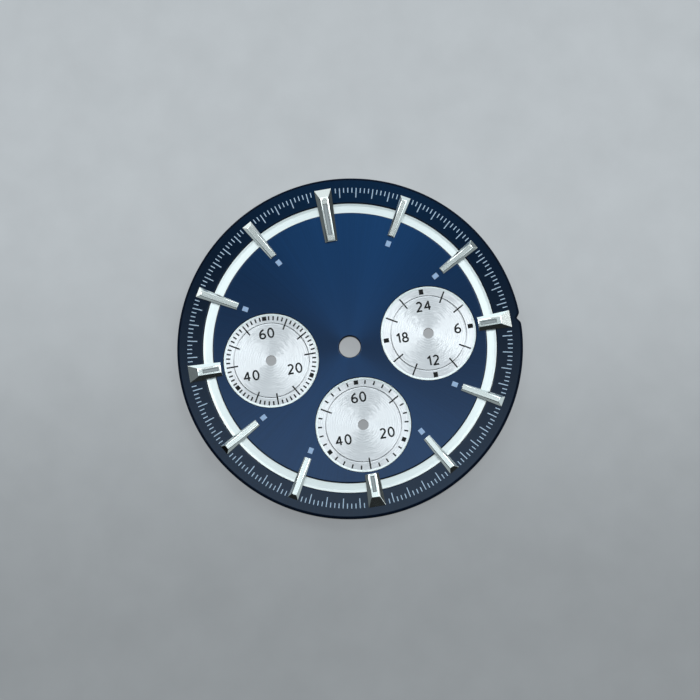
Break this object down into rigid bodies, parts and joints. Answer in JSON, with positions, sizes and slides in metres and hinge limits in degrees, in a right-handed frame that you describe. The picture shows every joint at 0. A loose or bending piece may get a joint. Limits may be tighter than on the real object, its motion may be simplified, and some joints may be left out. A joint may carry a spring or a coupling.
{
  "type": "watch dial",
  "caption": "Blue sunray watch dial with silver sub-dials, a sunk silver ring, applied bar markers, printed scales and feet for a movement.",
  "frame": {"origin": "centre of the centre hole on the flat rear face of the base plate", "axes": "+Z out of the face, +Y to 12 o'clock, +X to 3 o'clock"},
  "size_m": [0.0335, 0.0334, 0.0024],
  "materials": {
    "brass_blank": "satin",
    "blue_lacquer": "sunray brushed under clear lacquer",
    "silver_plate": "finely turned",
    "satin_silver": "satin",
    "polished_marker": "polished",
    "grey_strip": "matt",
    "pale_block": "matt",
    "pale_print": "matt",
    "black_print": "matt",
    "foot_metal": "turned"
  },
  "bodies": {
    "root": {"base_plate": "brass_blank", "centre_disc": "blue_lacquer", "dial_foot_lower": "foot_metal", "dial_foot_upper": "foot_metal", "hour_squares": "pale_block", "inlay_03": "grey_strip", "inlay_06": "grey_strip", "inlay_09": "grey_strip", "inlay_12": "grey_strip", "left_numerals": "black_print", "left_scale_print": "black_print", "left_subdial": "silver_plate", "lower_numerals": "black_print", "lower_scale_print": "black_print", "lower_subdial": "silver_plate", "marker_01": "polished_marker", "marker_02": "polished_marker", "marker_03": "polished_marker", "marker_04": "polished_marker", "marker_05": "polished_marker", "marker_06": "polished_marker", "marker_07": "polished_marker", "marker_08": "polished_marker", "marker_09": "polished_marker", "marker_10": "polished_marker", "marker_11": "polished_marker", "marker_12": "polished_marker", "minute_track_print": "pale_print", "minute_track_ring": "blue_lacquer", "right_numerals": "black_print", "right_scale_print": "black_print", "right_subdial": "silver_plate", "silver_ring": "satin_silver"}
  },
  "joints": []
}
